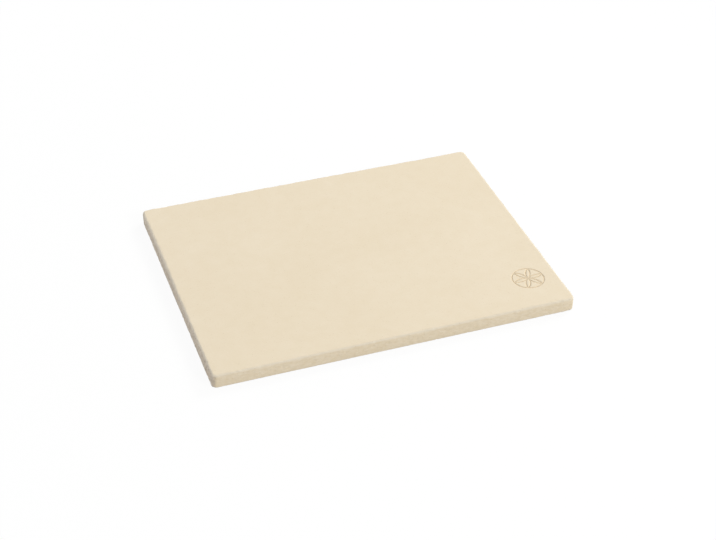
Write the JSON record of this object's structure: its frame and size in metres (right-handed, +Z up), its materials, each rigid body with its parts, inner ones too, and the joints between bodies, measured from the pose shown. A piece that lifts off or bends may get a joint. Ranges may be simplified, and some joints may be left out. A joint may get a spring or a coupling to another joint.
{
  "type": "pizza stone",
  "caption": "Rectangular pressed ceramic baking slab, flat on both faces, with rounded corners and a soft rolled rim.",
  "frame": {"origin": "middle of the flat underside, on the surface that the stone lies on", "axes": "+Z up out of the baking face, +X along the long side, +Y across it, away from the long side that is nearer in the picture"},
  "size_m": [0.38, 0.3, 0.015],
  "materials": {
    "cordierite": "unglazed, matt, fine-grained"
  },
  "bodies": {
    "root": {"baking_stone": "cordierite"}
  },
  "joints": []
}
